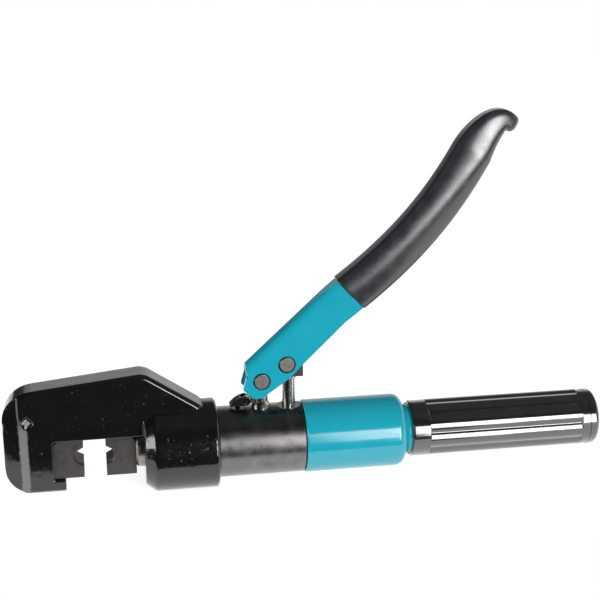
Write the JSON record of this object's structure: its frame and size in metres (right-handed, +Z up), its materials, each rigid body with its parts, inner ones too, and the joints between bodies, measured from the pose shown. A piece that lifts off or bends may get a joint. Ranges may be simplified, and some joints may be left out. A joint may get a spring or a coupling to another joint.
{
  "type": "hydraulic crimping tool",
  "caption": "Hand hydraulic crimping tool with a C-shaped head, a pair of hexagonal dies, a ram, a pump lever with a hooked grip, an oil reservoir and a fluted handle.",
  "frame": {"origin": "on the ram axis, in the seam between the pump body and the reservoir barrel", "axes": "+X along the ram axis to the handle end, +Z up to the lever, +Y to the back"},
  "size_m": [0.3175, 0.0472, 0.1951],
  "materials": {
    "yoke_paint": "thick gloss black paint on a forging",
    "blackened_steel": "satin black oxide",
    "die_steel": "dull hardened steel",
    "plain_steel": "plain turned steel",
    "pin_steel": "turned and cropped, grey-brown",
    "bright_steel": "ground and polished",
    "teal_paint": "gloss teal enamel",
    "grip_vinyl": "satin dipped vinyl",
    "handle_plastic": "gloss black moulding",
    "trigger_black": "gloss black paint",
    "seal_rubber": "moulded seal rubber",
    "nylon": "turned nylon",
    "brass": "turned brass"
  },
  "bodies": {
    "frame": {"head_yoke": "yoke_paint", "fixed_die": "die_steel", "fixed_die_screw": "blackened_steel", "rod_wiper": "seal_rubber", "ram_return_spring": "plain_steel", "pump_body": "blackened_steel", "body_o_ring": "seal_rubber", "delivery_ball": "bright_steel", "delivery_spring": "plain_steel", "delivery_plug": "brass", "relief_ball": "bright_steel", "relief_spring": "plain_steel", "relief_screw": "brass", "release_ball": "bright_steel", "release_spring": "plain_steel", "release_plug": "brass", "release_bush": "blackened_steel", "release_pin": "bright_steel", "trigger_pin": "plain_steel", "suction_ball": "bright_steel", "suction_spring": "plain_steel", "suction_seat": "brass", "suction_screen": "brass", "plunger_seal": "nylon", "plunger_gland": "blackened_steel", "fulcrum_post": "bright_steel", "oil_bladder": "seal_rubber", "bladder_clamp": "plain_steel", "shell_o_ring": "seal_rubber", "reservoir_shell": "teal_paint", "handle_tube": "plain_steel", "handle_grip": "handle_plastic", "end_cap": "handle_plastic"},
    "ram": {"ram": "plain_steel", "moving_die": "die_steel", "moving_die_ring": "plain_steel", "piston_seal": "seal_rubber", "piston_backup_ring": "nylon"},
    "lever": {"lever_channel": "teal_paint", "lever_grip": "grip_vinyl", "fulcrum_pin": "pin_steel", "plunger_pin": "pin_steel", "pin_clips": "blackened_steel"},
    "plunger": {"pump_plunger": "bright_steel", "plunger_head": "die_steel"},
    "trigger": {"release_trigger": "trigger_black"}
  },
  "joints": [
    {"name": "lever_hinge", "type": "hinge", "parent": "frame", "child": "lever", "pos_m": [-0.0218, 0, 0.0345], "axis": [0, 1, 0], "range_deg": [0, 38]},
    {"name": "plunger_slide", "type": "slide", "parent": "frame", "child": "plunger", "axis": [0, 0, -1], "range_m": [0, 0.0101]},
    {"name": "ram_slide", "type": "slide", "parent": "frame", "child": "ram", "axis": [-1, 0, 0], "range_m": [0, 0.0113], "stiffness_N_per_m": 3000, "springref_m": -0.004, "deforming": ["ram_return_spring"]},
    {"name": "trigger_hinge", "type": "hinge", "parent": "frame", "child": "trigger", "pos_m": [-0.0297, 0, 0.0227], "axis": [0, -1, 0], "range_deg": [0, 7], "stiffness_Nm_per_rad": 0.05, "springref_deg": -5.73}
  ],
  "couplings": [
    {"joint": "plunger_slide", "follows": "lever_hinge", "m_per_rad": 0.015077}
  ]
}
